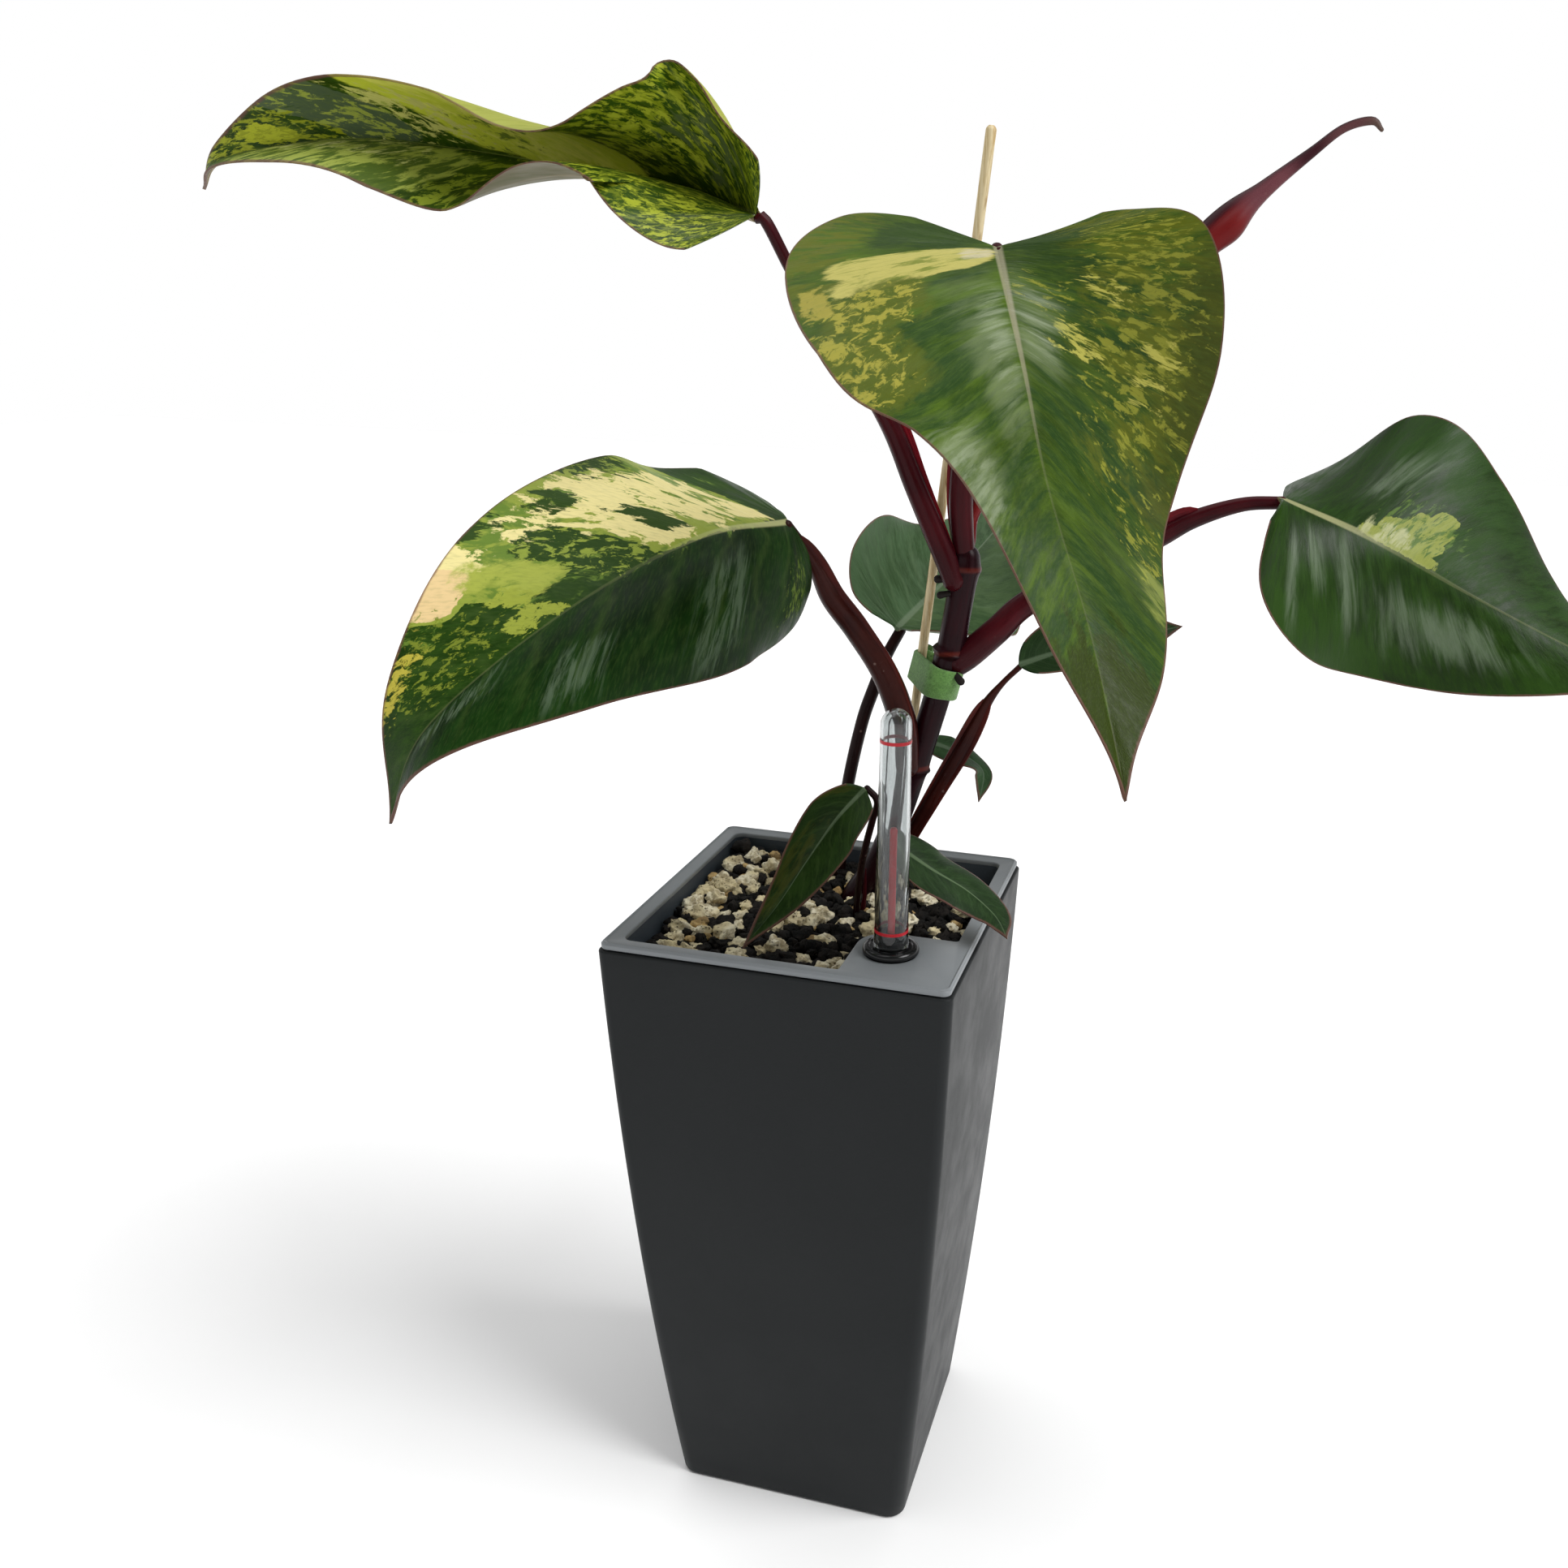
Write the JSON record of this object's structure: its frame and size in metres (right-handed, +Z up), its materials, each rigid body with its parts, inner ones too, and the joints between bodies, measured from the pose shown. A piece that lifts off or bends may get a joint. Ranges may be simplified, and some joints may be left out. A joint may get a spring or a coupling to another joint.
{
  "type": "potted aroid house plant",
  "caption": "Climbing philodendron with marbled yellow and green heart-shaped leaves, tied to a bamboo stake in a tall square self-watering planter with a clear water gauge.",
  "frame": {"origin": "centre of the planter's underside, on the surface it stands on", "axes": "+Z up, -Y out of the planter's front face, +X to the right seen from the front"},
  "size_m": [0.348, 0.1858, 0.3674],
  "materials": {
    "planter_plastic": "satin",
    "liner_plastic": "satin",
    "gauge_black": "gloss",
    "gauge_clear": "gloss",
    "gauge_red": "gloss",
    "wick_felt": "matte",
    "mineral_substrate": "matte",
    "bamboo": "satin",
    "tie_felt": "matte",
    "stem_skin": "satin",
    "leaf_blade": "satin",
    "new_leaf": "satin"
  },
  "bodies": {
    "root": {"planter_shell": "planter_plastic", "planting_liner": "liner_plastic", "water_gauge_foot": "gauge_black", "water_gauge_tube": "gauge_clear", "wick_1": "wick_felt", "wick_2": "wick_felt", "substrate": "mineral_substrate", "bamboo_stake": "bamboo", "stem_tie": "tie_felt", "main_stem": "stem_skin", "petiole_upper_left": "stem_skin", "blade_upper_left": "leaf_blade", "petiole_lower_left": "stem_skin", "blade_lower_left": "leaf_blade", "petiole_front": "stem_skin", "blade_front": "leaf_blade", "petiole_right": "stem_skin", "blade_right": "leaf_blade", "petiole_back": "stem_skin", "blade_back": "leaf_blade", "petiole_small_right": "stem_skin", "blade_small_right": "leaf_blade", "petiole_small_left": "stem_skin", "blade_small_left": "leaf_blade", "petiole_small_front": "stem_skin", "blade_small_front": "leaf_blade", "petiole_small_back": "stem_skin", "blade_small_back": "leaf_blade", "new_leaf_spear": "new_leaf"},
    "float": {"water_gauge_float": "gauge_red", "water_gauge_rod": "gauge_red"}
  },
  "joints": [
    {"name": "water_level", "type": "slide", "parent": "root", "child": "float", "axis": [0, 0, 1], "range_m": [-0.026, 0.021]}
  ]
}
